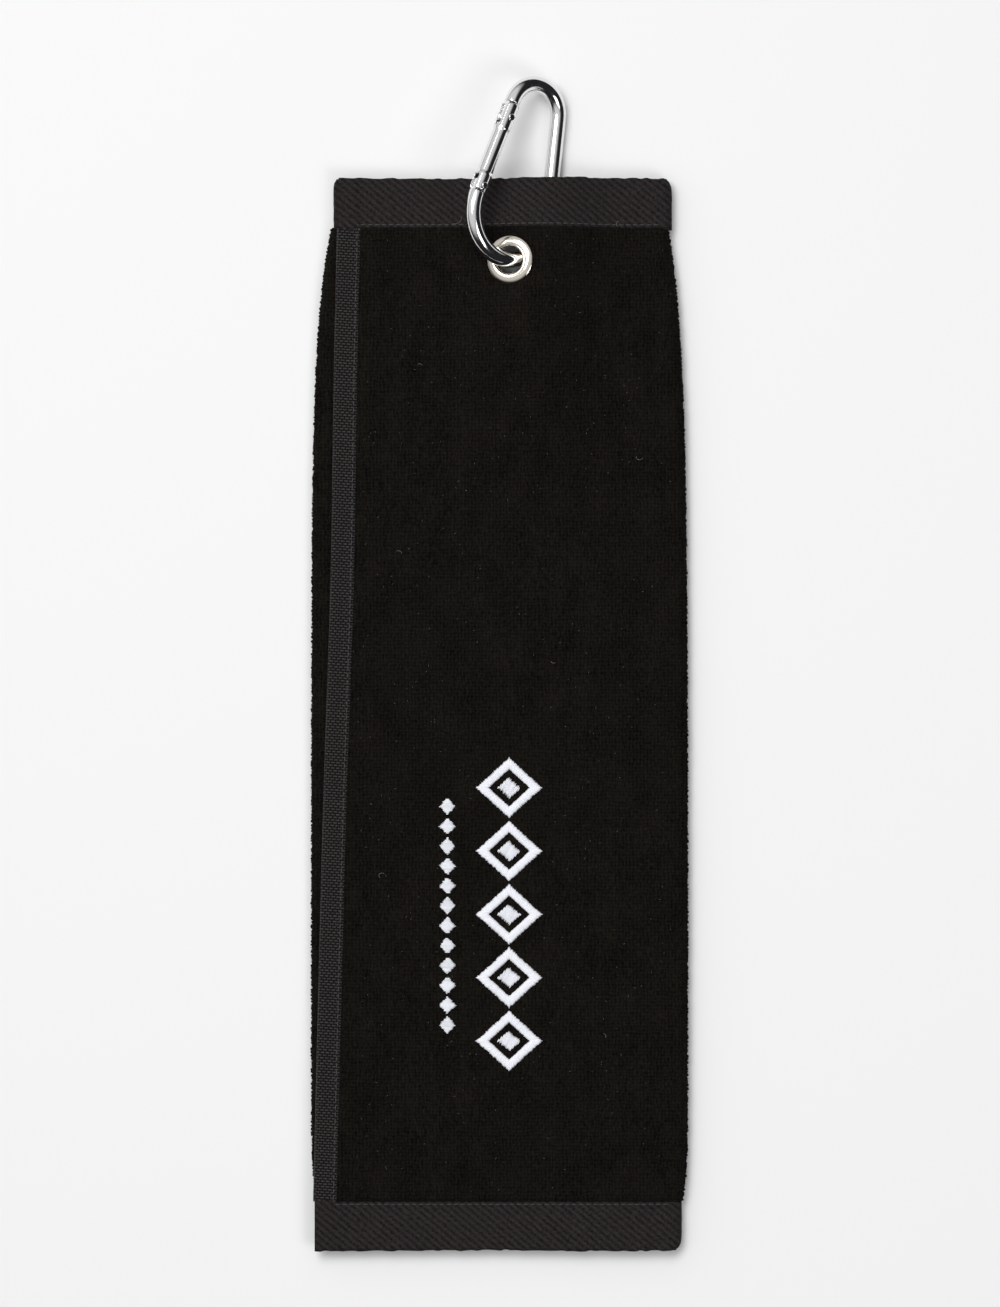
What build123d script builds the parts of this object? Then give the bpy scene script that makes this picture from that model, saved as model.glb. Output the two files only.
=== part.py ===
from build123d import *
import os
from math import asin, cos, degrees, radians, sin, sqrt

os.makedirs("parts", exist_ok=True)

# A golf towel folded in thirds, lying flat on z = 0. +Y runs along the towel to the eyelet,
# +X to the right, +Z up. The origin is the centre of the folded towel's underside. Millimetres.

# ---- cloth ----
towel_length = 400.0
towel_width = 140.0  # folded, across the velour
velour_thickness = 2.4
layer_gap = 0.2
front_edge_inset = 6.4  # the front flap stops this far short of the left fold
inner_edge_inset = 13.6  # the inner flap stops this far short of the right fold

# ---- end bands and side bindings ----
band_width = 18.4
band_thickness = 1.9
band_inset = 6.0  # the flat bands are narrower than the velour on each side
header_thickness = 0.9  # sheared cloth inside a band
binding_width = 7.8
binding_thickness = 2.2
edge_thickness = 1.2  # sheared cloth inside a binding
tape_wall = 0.5
tape_clearance = 0.05
thread_width = 0.5
thread_height = 0.3
seam_inset = 1.2  # a seam's distance from its tape's inner edge

# ---- embroidery ----
embroidery_height = 0.6
motif_length = 118.0
motif_height = 25.0
motif_x = 3.4
motif_y = -74.5
line_length = 89.0
line_height = 7.0
line_x = -19.6
line_y = -75.0
stroke = 3.4
motif_count = 5
line_count = 12
lozenge_gap = 0.8
core_share = 0.36  # the solid lozenge in the middle of each open one

# ---- eyelet ----
eyelet_x = 4.1
eyelet_inset = 30.7  # from the towel's top edge
hole_clearance = 1.9  # round the carabiner's rod
flange_width = 4.1  # from the hole to the flange's rim
crest_inset = 1.6  # from the hole to the flange's highest ring
eyelet_wall = 0.5
clamped_thickness = 2.5
flange_height = 1.1
washer_thickness = 0.6
roll_radius = 1.4

# ---- carabiner ----
rod_radius = 3.0
wide_bend_radius = 17.5  # to the middle of the rod
narrow_bend_radius = 11.3
bend_distance = 37.6  # between the two bends' centres, along the spine
clip_tilt = 38.0  # the clip's plane rises from its spine to its gate
clip_lean = 5.9  # the spine leans to the right of +Y
hole_height_on_bend = 15.2  # where the eyelet sits on the wide bend, measured up from the spine
hinge_shoulder = 1.2  # from the narrow bend's end
hinge_pin_offset = 5.8  # from the shoulder to the hinge pin
latch_pin_offset = 28.2  # from hinge pin to latch pin
gate_end_swell = 0.3  # the gate's ends are thicker than the rod
gate_end_margin = 2.2  # gate beyond the latch pin
fork_width = 2.6
tongue_thickness = 2.4
tongue_radius = 2.3
shoulder_gap = 0.4
pin_radius = 0.8
pin_clearance = 0.06
pin_head_radius = 1.3
pin_head_height = 0.4
notch_clearance = 0.15
spring_bore_radius = 1.6
spring_wire_radius = 0.2
spring_mean_radius = 1.25
spring_turns = 8
plunger_radius = 1.5
plunger_length = 2.6
spring_length = 11.0

# ---- how the cloth is lifted where the clip's spine runs under it ----
cloth_over_rod = 1.2  # between the spine and the cloth at the towel's end
lift_peak_offset = 10.0  # to the right of the eyelet
lift_peak_shift = 5.0  # further right at the towel's end
lift_left_reach = 38.0
lift_margin = 1.6  # from the inner binding to where the lift begins
lift_length = 100.0  # below the eyelet

# ---- derived places ----
half_length = towel_length / 2
half_width = towel_width / 2
pitch = velour_thickness + layer_gap
back_level = velour_thickness / 2
inner_level = back_level + pitch
front_level = inner_level + pitch
stack_top = front_level + velour_thickness / 2
front_edge = -half_width + front_edge_inset
inner_edge = half_width - inner_edge_inset
velour_end = half_length - band_width
eyelet_y = half_length - eyelet_inset
lift_start = eyelet_y - lift_length
lift_right_limit = inner_edge - binding_width - lift_margin
lift_height_at_end = 2 * rod_radius + cloth_over_rod
hole_radius = rod_radius + hole_clearance
flange_radius = hole_radius + flange_width
gate_end_radius = rod_radius + gate_end_swell
hole_z = rod_radius + hole_height_on_bend * sin(radians(clip_tilt))
along_rise = 1 - lift_peak_offset / lift_left_reach
loft_sections = 5


def ease(t):
    """0 at t = 0 and 1 at t = 1, level at both ends."""
    t = min(max(t, 0.0), 1.0)
    return 3 * t**2 - 2 * t**3


# the middle of the folded stack rises to the eyelet's centre
lift_height = (hole_z - inner_level) / ease(along_rise)


def ridge(y):
    """Where the cloth is highest at y, and how far its underside is above the table there."""
    toward_end = ease((y - eyelet_y) / eyelet_inset)
    peak_x = eyelet_x + lift_peak_offset + lift_peak_shift * toward_end
    peak = lift_height * ease((y - lift_start) / lift_length)
    return peak_x, peak - (lift_height - lift_height_at_end) * toward_end


def run(x_start, x_end, z, y, raised):
    """One long stretch of a cloth section at height z, straight or over the ridge."""
    if not raised:
        return Line((x_start, z), (x_end, z))
    peak_x, peak = ridge(y)
    first, last = peak_x - lift_left_reach, lift_right_limit
    if x_start > x_end:
        first, last = last, first
    up, down = (peak_x - first) / 3, (last - peak_x) / 3
    top = z + peak
    Line((x_start, z), (first, z))
    Bezier((first, z), (first + up, z), (peak_x - up, top), (peak_x, top))
    Bezier((peak_x, top), (peak_x + down, top), (last - down, z), (last, z))
    return Line((last, z), (x_end, z))


def fold(x, z_start, z_end, bulge):
    """Half circle from one layer to another, bulging to the left or right."""
    middle = (x + bulge * abs(z_end - z_start) / 2, (z_start + z_end) / 2)
    return ThreePointArc((x, z_start), middle, (x, z_end))


def folded_section(y, half, inset, edge_half, edge_width, raised):
    """The C-folded cloth's section at y: back panel, inner flap and front flap in one outline.

    half is half the cloth's thickness, and edge_half that of its two thinner free edges.
    """
    left = -half_width + inset + pitch / 2 + velour_thickness / 2
    right = half_width - inset - pitch - velour_thickness / 2
    front = front_edge + tape_wall
    front_step = front + edge_width
    inner = inner_edge - tape_wall
    inner_step = inner - edge_width
    with BuildSketch(Plane.XZ.offset(-y)) as section:
        with BuildLine():
            Polyline(
                (inner_step, inner_level - half),
                (inner_step, inner_level - edge_half),
                (inner, inner_level - edge_half),
                (inner, inner_level + edge_half),
                (inner_step, inner_level + edge_half),
                (inner_step, inner_level + half),
            )
            run(inner_step, left, inner_level + half, y, raised)
            fold(left, inner_level + half, back_level - half, -1)
            run(left, right, back_level - half, y, raised)
            fold(right, back_level - half, front_level + half, 1)
            run(right, front_step, front_level + half, y, raised)
            Polyline(
                (front_step, front_level + half),
                (front_step, front_level + edge_half),
                (front, front_level + edge_half),
                (front, front_level - edge_half),
                (front_step, front_level - edge_half),
                (front_step, front_level - half),
            )
            run(front_step, right, front_level - half, y, raised)
            fold(right, front_level - half, back_level + half, 1)
            run(right, left, back_level + half, y, raised)
            fold(left, back_level + half, inner_level - half, -1)
            run(left, inner_step, inner_level - half, y, raised)
        make_face()
    return section.sketch


def stations(y_start, y_end):
    """The y of each section of a loft."""
    return [y_start + (y_end - y_start) * i / (loft_sections - 1) for i in range(loft_sections)]


def strip_section(y, x_start, x_end, level, half, raised=False):
    """A flat strip, seen end on: a tape round a cloth edge, or a seam's thread."""
    with BuildSketch(Plane.XZ.offset(-y)) as section:
        with BuildLine():
            run(x_start, x_end, level + half, y, raised)
            Line((x_end, level + half), (x_end, level - half))
            run(x_end, x_start, level - half, y, raised)
            Line((x_start, level - half), (x_start, level + half))
        make_face()
    return section.sketch


# ---- velour cloth, with the eyelet's axis ----
edge_strip = binding_width - tape_wall
velour_half = velour_thickness / 2
header_half = header_thickness / 2
slope = lift_height * 6 * along_rise * (1 - along_rise) / lift_left_reach
eyelet_normal = Vector(-slope, 0, 1).normalized()
eyelet_plane = Plane(origin=(eyelet_x, eyelet_y, hole_z), x_dir=(0, 1, 0), z_dir=eyelet_normal)
eyelet_side = Plane(origin=eyelet_plane.origin, x_dir=eyelet_plane.x_dir, z_dir=-eyelet_plane.y_dir)
eyelet_axis = Axis(eyelet_plane.origin, eyelet_plane.z_dir)
clamp_half = clamped_thickness / 2
dimple_reach = flange_radius + 5.0
dimple_depth = 7.0
barrel_radius = hole_radius + eyelet_wall

with BuildPart() as velour_cloth:
    flat_section = folded_section(-velour_end, velour_half, 0, edge_thickness / 2, edge_strip, False)
    extrude(flat_section, amount=lift_start + velour_end, dir=(0, 1, 0))
    loft(
        [
            folded_section(y, velour_half, 0, edge_thickness / 2, edge_strip, True)
            for y in stations(lift_start, velour_end)
        ]
    )
    loft(
        [
            folded_section(y, header_half, band_inset, header_half * 0.9, edge_strip, True)
            for y in stations(velour_end, half_length - tape_wall - tape_clearance)
        ]
    )
    header_section = folded_section(
        -velour_end, header_half, band_inset / 2, header_half * 0.9, edge_strip, False
    )
    extrude(header_section, amount=band_width - tape_wall - tape_clearance, dir=(0, -1, 0))
    # the hole and the dimple that the eyelet's flanges press into both faces
    with BuildSketch(eyelet_side):
        for side in (1, -1):
            with BuildLine():
                Polyline(
                    (0, side * clamp_half),
                    (flange_radius + 0.4, side * clamp_half),
                    (dimple_reach, side * dimple_depth),
                    (0, side * dimple_depth),
                    close=True,
                )
            make_face()
        with Locations((barrel_radius / 2, 0)):
            Rectangle(barrel_radius, clamped_thickness + 0.1)
    revolve(axis=eyelet_axis, mode=Mode.SUBTRACT)
velour_cloth.part.label = "velour_cloth"
export_step(velour_cloth.part, "parts/velour_cloth.step")

# ---- end bands: tape folded over the cloth's sheared ends ----
band_half = band_thickness / 2
cavity_half = header_half + tape_clearance
band_edge = 2.0

with BuildPart() as top_band:
    loft(
        [
            folded_section(y, band_half, band_inset, band_half * 0.9, band_edge, True)
            for y in stations(velour_end, half_length)
        ]
    )
    loft(
        [
            folded_section(y, cavity_half, band_inset, cavity_half * 0.95, edge_strip, True)
            for y in stations(velour_end, half_length - tape_wall)
        ],
        mode=Mode.SUBTRACT,
    )
top_band.part.label = "top_band"
export_step(top_band.part, "parts/top_band.step")

with BuildPart() as bottom_band:
    outer_section = folded_section(-velour_end, band_half, band_inset / 2, band_half * 0.9, band_edge, False)
    extrude(outer_section, amount=band_width, dir=(0, -1, 0))
    cavity = folded_section(-velour_end, cavity_half, band_inset / 2, cavity_half * 0.95, edge_strip, False)
    extrude(cavity, amount=band_width - tape_wall, dir=(0, -1, 0), mode=Mode.SUBTRACT)
bottom_band.part.label = "bottom_band"
export_step(bottom_band.part, "parts/bottom_band.step")

# ---- side bindings: tape folded over the cloth's two free edges ----
binding_half = binding_thickness / 2
slot_half = edge_thickness / 2 + tape_clearance

with BuildPart() as front_binding:
    binding_end = front_edge + binding_width
    outer_section = strip_section(-velour_end, front_edge, binding_end, front_level, binding_half)
    extrude(outer_section, amount=2 * velour_end, dir=(0, 1, 0))
    slot_edge = front_edge + tape_wall - tape_clearance
    cavity = strip_section(-velour_end, slot_edge, binding_end, front_level, slot_half)
    extrude(cavity, amount=2 * velour_end, dir=(0, 1, 0), mode=Mode.SUBTRACT)
front_binding.part.label = "front_binding"
export_step(front_binding.part, "parts/front_binding.step")

with BuildPart() as inner_binding:
    binding_end = inner_edge - binding_width
    outer_section = strip_section(-velour_end, inner_edge, binding_end, inner_level, binding_half)
    extrude(outer_section, amount=2 * velour_end, dir=(0, 1, 0))
    slot_edge = inner_edge - tape_wall + tape_clearance
    cavity = strip_section(-velour_end, slot_edge, binding_end, inner_level, slot_half)
    extrude(cavity, amount=2 * velour_end, dir=(0, 1, 0), mode=Mode.SUBTRACT)
inner_binding.part.label = "inner_binding"
export_step(inner_binding.part, "parts/inner_binding.step")

# ---- seam threads on the tapes ----
thread_z = thread_height / 2
band_top = front_level + band_half
seam_y = velour_end + seam_inset
seam_left = front_edge + binding_width
seam_right = half_width - band_inset - pitch - velour_thickness

with BuildPart() as top_band_stitching:
    loft(
        [
            strip_section(y, seam_left, seam_right, band_top + thread_z, thread_z, True)
            for y in (seam_y, seam_y + thread_width)
        ]
    )
top_band_stitching.part.label = "top_band_stitching"
export_step(top_band_stitching.part, "parts/top_band_stitching.step")

with BuildPart() as bottom_band_stitching:
    seam = strip_section(-seam_y, seam_left, seam_right, band_top + thread_z, thread_z)
    extrude(seam, amount=thread_width, dir=(0, -1, 0))
bottom_band_stitching.part.label = "bottom_band_stitching"
export_step(bottom_band_stitching.part, "parts/bottom_band_stitching.step")

binding_seam = binding_width - seam_inset
with BuildPart() as front_binding_stitching:
    seam_x = front_edge + binding_seam
    seam_level = front_level + binding_half + thread_z
    seam = strip_section(-velour_end, seam_x, seam_x + thread_width, seam_level, thread_z)
    extrude(seam, amount=2 * velour_end, dir=(0, 1, 0))
front_binding_stitching.part.label = "front_binding_stitching"
export_step(front_binding_stitching.part, "parts/front_binding_stitching.step")

with BuildPart() as inner_binding_stitching:
    # the thread lies in the cloth's own gap, so it is no higher than the gap allows
    hidden_half = layer_gap / 4
    hidden_level = inner_level + binding_half + hidden_half
    seam_x = inner_edge - binding_seam
    seam = strip_section(-velour_end, seam_x, seam_x - thread_width, hidden_level, hidden_half)
    extrude(seam, amount=2 * velour_end, dir=(0, 1, 0))
inner_binding_stitching.part.label = "inner_binding_stitching"
export_step(inner_binding_stitching.part, "parts/inner_binding_stitching.step")

# ---- embroidery: a row of argyle lozenges along the towel, and a row of small ones ----
# Both rows are drawn with +x along the towel towards the eyelet.
motif_plane = Plane(origin=(motif_x, motif_y, stack_top), x_dir=(0, 1, 0), z_dir=(0, 0, 1))
line_plane = Plane(origin=(line_x, line_y, stack_top), x_dir=(0, 1, 0), z_dir=(0, 0, 1))
motif_pitch = motif_length / motif_count
line_pitch = line_length / line_count


def lozenge(length, height, mode=Mode.ADD):
    """A diamond of this length along the towel and this height across it."""
    return Polygon((length / 2, 0), (0, height / 2), (-length / 2, 0), (0, -height / 2), mode=mode)


with BuildPart() as embroidery_motif:
    with BuildSketch(motif_plane):
        with GridLocations(motif_pitch, 0, motif_count, 1):
            length, height = motif_pitch - lozenge_gap, motif_height
            inner_share = 1 - stroke / (length * height / 2 / sqrt(length**2 + height**2))
            lozenge(length, height)
            lozenge(length * inner_share, height * inner_share, mode=Mode.SUBTRACT)
            lozenge(length * core_share, height * core_share)
    extrude(amount=embroidery_height)
embroidery_motif.part.label = "embroidery_motif"
export_step(embroidery_motif.part, "parts/embroidery_motif.step")

with BuildPart() as embroidery_line:
    with BuildSketch(line_plane):
        with GridLocations(line_pitch, 0, line_count, 1):
            lozenge(line_pitch - lozenge_gap, line_height)
    extrude(amount=embroidery_height)
embroidery_line.part.label = "embroidery_line"
export_step(embroidery_line.part, "parts/embroidery_line.step")

# ---- eyelet and washer ----
barrel_straight = clamp_half - 0.45
crest_radius = hole_radius + crest_inset
crest_height = clamp_half + flange_height
roll_start = -barrel_straight
roll_end = roll_start - roll_radius

with BuildPart() as eyelet:
    with BuildSketch(eyelet_side):
        with BuildLine():
            Line((hole_radius, roll_start), (hole_radius, barrel_straight))
            RadiusArc(
                (hole_radius, barrel_straight),
                (crest_radius, crest_height),
                crest_inset + 0.05,
            )
            Spline(
                (crest_radius, crest_height),
                (flange_radius - 0.8, crest_height - 0.35),
                (flange_radius, clamp_half + 0.3),
            )
            Polyline(
                (flange_radius, clamp_half + 0.3),
                (flange_radius, clamp_half),
                (barrel_radius, clamp_half),
                (barrel_radius, -clamp_half - washer_thickness),
                (hole_radius + roll_radius + 0.2, -clamp_half - washer_thickness),
                (hole_radius + roll_radius + 0.2, roll_end),
                (hole_radius + roll_radius, roll_end),
            )
            RadiusArc((hole_radius + roll_radius, roll_end), (hole_radius, roll_start), roll_radius)
        make_face()
    revolve(axis=eyelet_axis)
eyelet.part.label = "eyelet"
export_step(eyelet.part, "parts/eyelet.step")

with BuildPart() as eyelet_washer:
    with BuildSketch(eyelet_plane.offset(-clamp_half - washer_thickness)):
        Circle(flange_radius - 0.2)
        Circle(barrel_radius, mode=Mode.SUBTRACT)
    extrude(amount=washer_thickness)
eyelet_washer.part.label = "eyelet_washer"
export_step(eyelet_washer.part, "parts/eyelet_washer.step")

# ---- carabiner: a belt of rod round two bends, in a plane that tilts about the spine ----
# In the clip's plane, x runs along the spine from the wide bend and y rises to the gate.
along_spine = Vector(sin(radians(clip_lean)), cos(radians(clip_lean)), 0)
across_clip = Vector(
    -cos(radians(clip_lean)) * cos(radians(clip_tilt)),
    sin(radians(clip_lean)) * cos(radians(clip_tilt)),
    sin(radians(clip_tilt)),
)
hole_angle = asin((wide_bend_radius - hole_height_on_bend) / wide_bend_radius)
hole_on_bend = -wide_bend_radius * cos(hole_angle)
spine_start = (
    Vector(eyelet_x, eyelet_y, hole_z) - along_spine * hole_on_bend - across_clip * hole_height_on_bend
)
clip_plane = Plane(origin=spine_start, x_dir=along_spine, z_dir=along_spine.cross(across_clip))
gate_angle = 2 * asin((wide_bend_radius - narrow_bend_radius) / bend_distance)
tangent = Vector(sin(gate_angle), cos(gate_angle))
narrow_end = (
    bend_distance + narrow_bend_radius * tangent.X,
    narrow_bend_radius + narrow_bend_radius * tangent.Y,
)
wide_end = (wide_bend_radius * tangent.X, wide_bend_radius + wide_bend_radius * tangent.Y)
gate_line = sqrt((narrow_end[0] - wide_end[0]) ** 2 + (narrow_end[1] - wide_end[1]) ** 2)

# In the gate's plane, x runs from the hinge to the latch and y points into the loop.
gate_direction = along_spine * -cos(gate_angle) + across_clip * sin(gate_angle)
gate_plane = Plane(
    origin=clip_plane.from_local_coords((narrow_end[0], narrow_end[1], 0)),
    x_dir=gate_direction,
    z_dir=clip_plane.z_dir,
)
gate_axis = Axis(gate_plane.origin, gate_plane.x_dir)
hinge_x = hinge_shoulder + hinge_pin_offset
latch_x = hinge_x + latch_pin_offset
gate_start = hinge_shoulder + shoulder_gap
gate_end = latch_x + gate_end_margin
nose_shoulder = gate_end + shoulder_gap
hinge_slot_end = hinge_x + tongue_radius + 1.9
latch_slot_start = latch_x - 3.6
turn = degrees(gate_angle)

with BuildPart() as carabiner_body:
    with BuildLine(clip_plane) as rod_path:
        PolarLine(
            start=(
                narrow_end[0] - hinge_shoulder * cos(gate_angle),
                narrow_end[1] + hinge_shoulder * sin(gate_angle),
            ),
            length=hinge_shoulder,
            angle=-turn,
        )
        CenterArc((bend_distance, narrow_bend_radius), narrow_bend_radius, 90 - turn, turn - 180)
        Line((bend_distance, 0), (0, 0))
        CenterArc((0, wide_bend_radius), wide_bend_radius, -90, -(180 + turn))
        PolarLine(start=wide_end, length=gate_line - nose_shoulder, angle=-turn)
    with BuildSketch(Plane(origin=rod_path.line @ 0, z_dir=rod_path.line % 0)):
        Circle(rod_radius)
    sweep(path=rod_path.line)
    # hinge tongue, in the gate's fork
    with BuildSketch(gate_plane.offset(-tongue_thickness / 2)):
        with Locations((hinge_x, 0)):
            Circle(tongue_radius)
        with Locations(((hinge_shoulder + hinge_x) / 2 - 0.2, 0)):
            Rectangle(hinge_x - hinge_shoulder + 0.4, 2 * tongue_radius)
        with Locations((hinge_x, 0)):
            Circle(pin_radius + pin_clearance, mode=Mode.SUBTRACT)
    extrude(amount=tongue_thickness)
    # nose, with a notch open to the inside of the loop that hooks the latch pin
    nose_tip = latch_x - 2.4
    with BuildSketch(gate_plane.offset(-tongue_thickness / 2)):
        with Locations(((nose_tip + nose_shoulder) / 2 + 0.2, 0)):
            RectangleRounded(nose_shoulder - nose_tip + 0.4, 2 * tongue_radius, 0.6)
        with Locations((nose_shoulder, 0)):
            Rectangle(1.2, 2 * tongue_radius)
        with Locations((latch_x, tongue_radius / 2 + 0.5)):
            Rectangle(2 * (pin_radius + notch_clearance), tongue_radius + 1.0, mode=Mode.SUBTRACT)
        with Locations((latch_x, 0)):
            Circle(pin_radius + notch_clearance, mode=Mode.SUBTRACT)
    extrude(amount=tongue_thickness)
carabiner_body.part.label = "carabiner_body"
export_step(carabiner_body.part, "parts/carabiner_body.step")

# ---- gate ----
bore_end = hinge_slot_end + plunger_length + spring_length - 1.2
fork_end_radius = hinge_pin_offset - shoulder_gap
with BuildPart() as carabiner_gate:
    with BuildSketch(gate_plane):
        with BuildLine():
            Polyline(
                (gate_start, 0),
                (gate_start, gate_end_radius),
                (hinge_slot_end + 0.6, gate_end_radius),
                (hinge_slot_end + 1.6, rod_radius),
                (latch_slot_start - 1.8, rod_radius),
                (latch_slot_start - 0.8, gate_end_radius),
                (gate_end - 0.5, gate_end_radius),
                (gate_end, gate_end_radius - 0.5),
                (gate_end, 0),
                close=True,
            )
        make_face()
    revolve(axis=gate_axis)
    with BuildSketch(gate_plane.offset(-2 * rod_radius)):
        with Locations((hinge_x, 0)):
            Circle(fork_end_radius)
        with Locations(((hinge_x + gate_end) / 2 + 1.0, 0)):
            Rectangle(gate_end - hinge_x + 2.0, 4 * rod_radius)
    extrude(amount=4 * rod_radius, mode=Mode.INTERSECT)
    with BuildSketch(gate_plane.offset(-fork_width / 2)):
        with Locations(((gate_start + hinge_slot_end) / 2 - 0.5, 0)):
            Rectangle(hinge_slot_end - gate_start + 1.0, 4 * rod_radius)
        with Locations(((gate_end + latch_slot_start) / 2 + 0.5, 0)):
            Rectangle(gate_end - latch_slot_start + 1.0, 4 * rod_radius)
    extrude(amount=fork_width, mode=Mode.SUBTRACT)
    with BuildSketch(gate_plane.offset(-2 * rod_radius)):
        with Locations((hinge_x, 0), (latch_x, 0)):
            Circle(pin_radius)
    extrude(amount=4 * rod_radius, mode=Mode.SUBTRACT)
    slot_end = gate_axis.position + gate_axis.direction * (hinge_slot_end - 0.1)
    with BuildSketch(Plane(origin=slot_end, z_dir=gate_direction)):
        Circle(spring_bore_radius)
    extrude(amount=bore_end - hinge_slot_end + 0.1, mode=Mode.SUBTRACT)
carabiner_gate.part.label = "carabiner_gate"
export_step(carabiner_gate.part, "parts/carabiner_gate.step")

# ---- rivets, with a low head at each end ----
for name, pin_x in (("gate_hinge_pin", hinge_x), ("gate_latch_pin", latch_x)):
    with BuildPart() as pin:
        with BuildSketch(gate_plane.offset(-gate_end_radius)):
            with Locations((pin_x, 0)):
                Circle(pin_radius)
        extrude(amount=2 * gate_end_radius)
        for side in (1, -1):
            with BuildSketch(gate_plane.offset(side * gate_end_radius)):
                with Locations((pin_x, 0)):
                    Circle(pin_head_radius)
            extrude(amount=side * pin_head_height)
        fillet(pin.edges().filter_by(GeomType.CIRCLE).group_by(SortBy.RADIUS)[-1].sort_by(
            Axis(gate_plane.origin, gate_plane.z_dir))[::3], 0.3)
    pin.part.label = name
    export_step(pin.part, f"parts/{name}.step")

# ---- plunger and spring in the gate's bore ----
plunger_clearance = 0.05
plunger_start = hinge_x + tongue_radius + plunger_clearance
plunger_plane = Plane(origin=gate_axis.position + gate_axis.direction * plunger_start, z_dir=gate_direction)
stem_radius = spring_mean_radius - spring_wire_radius - 0.15
stem_length = 2.0

with BuildPart() as gate_plunger:
    with BuildSketch(plunger_plane):
        Circle(fork_width / 2 - 0.1)
    extrude(amount=hinge_slot_end - plunger_start + 0.1)
    with BuildSketch(plunger_plane.offset(hinge_slot_end - plunger_start + 0.1)):
        Circle(plunger_radius)
    extrude(amount=plunger_length - 1.6)
    with BuildSketch(plunger_plane.offset(hinge_slot_end - plunger_start + plunger_length - 1.5)):
        Circle(stem_radius)
    extrude(amount=stem_length)
gate_plunger.part.label = "gate_plunger"
export_step(gate_plunger.part, "parts/gate_plunger.step")

spring_start = hinge_slot_end + plunger_length - 1.5 + spring_wire_radius + 0.02
spring_free = bore_end - spring_start - spring_wire_radius - 0.02
spring_plane = Plane(origin=gate_axis.position + gate_axis.direction * spring_start, z_dir=gate_direction)
with BuildPart() as gate_spring:
    coil = spring_plane.location * Helix(spring_free / spring_turns, spring_free, spring_mean_radius)
    with BuildSketch(Plane(origin=coil @ 0, z_dir=coil % 0)):
        Circle(spring_wire_radius)
    sweep(path=coil, is_frenet=True)
gate_spring.part.label = "gate_spring"
export_step(gate_spring.part, "parts/gate_spring.step")

hinge_point = gate_plane.from_local_coords((hinge_x, 0, 0))
print("eyelet hole centre", eyelet_plane.origin, "normal", eyelet_normal)
print("clip plane origin", clip_plane.origin, "normal", clip_plane.z_dir)
print("gate hinge pin", hinge_point, "gate direction", gate_direction)
print("spine direction", along_spine, "across", across_clip)
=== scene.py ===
import math

import bmesh
import bpy
import numpy as np
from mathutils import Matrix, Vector


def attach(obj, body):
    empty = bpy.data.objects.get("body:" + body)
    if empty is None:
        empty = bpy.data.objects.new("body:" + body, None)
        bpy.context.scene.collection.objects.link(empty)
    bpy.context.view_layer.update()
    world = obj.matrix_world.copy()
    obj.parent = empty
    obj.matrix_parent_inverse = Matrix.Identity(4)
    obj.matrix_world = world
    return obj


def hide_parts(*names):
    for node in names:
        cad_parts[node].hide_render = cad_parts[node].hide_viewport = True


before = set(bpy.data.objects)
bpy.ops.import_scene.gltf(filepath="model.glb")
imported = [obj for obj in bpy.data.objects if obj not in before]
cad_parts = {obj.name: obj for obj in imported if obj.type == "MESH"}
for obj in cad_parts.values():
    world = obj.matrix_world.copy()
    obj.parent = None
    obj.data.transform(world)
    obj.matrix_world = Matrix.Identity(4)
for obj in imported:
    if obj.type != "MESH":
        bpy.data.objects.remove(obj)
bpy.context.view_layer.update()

# Black velour golf towel, folded in thirds, with woven end bands, bound edges, satin-stitch
# lozenges, a nickel eyelet and a polished carabiner. Sizes are in millimetres until a mesh is made.
MM = 0.001
rng = np.random.default_rng(7)

# ---- sizes ----
HALF_LENGTH = 200.0
BAND_WIDTH = 18.4
VELOUR_END = HALF_LENGTH - BAND_WIDTH
VELOUR = 2.4             # thickness of one layer
PITCH = 2.6              # from one layer's middle to the next
BACK = VELOUR / 2
INNER = BACK + PITCH
FRONT = INNER + PITCH
STACK = FRONT + VELOUR / 2
BAND = 1.7
BINDING = 2.7            # thickness of the folded tape
BINDING_WIDTH = 7.9
INNER_EDGE = 56.4        # the inner flap's free edge
EYELET_X, EYELET_Y, EYELET_Z = 4.1, 169.3, 12.36
EYELET_TILT = 0.315      # how far its axis leans to the left for each millimetre of height
EYELET_INSET = HALF_LENGTH - EYELET_Y
HOLE = 5.5               # radius of the holes in the cloth
LIFT_START = EYELET_Y - 100.0


def ease(t):
    t = np.clip(t, 0.0, 1.0)
    return 3 * t**2 - 2 * t**3


def lift(x, y):
    """Height of the cloth's underside where the carabiner's spine runs under it."""
    toward_end = ease((y - EYELET_Y) / EYELET_INSET)
    peak_x = EYELET_X + 10.0 + 5.0 * toward_end
    peak = 10.3 * ease((y - LIFT_START) / 100.0) - 3.1 * toward_end
    left = ease(1 - (peak_x - x) / 38.0)
    right = ease(1 - (x - peak_x) / (47.0 - peak_x))
    return peak * np.where(x < peak_x, left, right)


def velour_left(y):
    """The folded velour's left outline: drawn in by the top band, fuller below."""
    return -70.3 + 7.4 * np.exp(-(VELOUR_END - y) / 36.0) + 2.2 * np.exp(-(VELOUR_END + y) / 9.0)


def velour_right(y):
    return 70.0 - 7.3 * np.exp(-(VELOUR_END - y) / 44.0) - 2.0 * np.exp(-(VELOUR_END + y) / 9.0)


def front_edge(y):
    """The front flap's free edge runs slightly askew."""
    return -65.3 + 0.0246 * y + 0.8 * math.exp(-(((y - 50.0) / 60.0) ** 2))


def band_left(y):
    rounded = 1.2 * math.exp(-(HALF_LENGTH - abs(y)) / 1.2)
    return (-62.6 if y > 0 else -68.4) + rounded


def band_right(y):
    rounded = 2.2 * math.exp(-(HALF_LENGTH - abs(y)) / 1.5)
    return (64.6 if y > 0 else 68.3) - rounded


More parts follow.
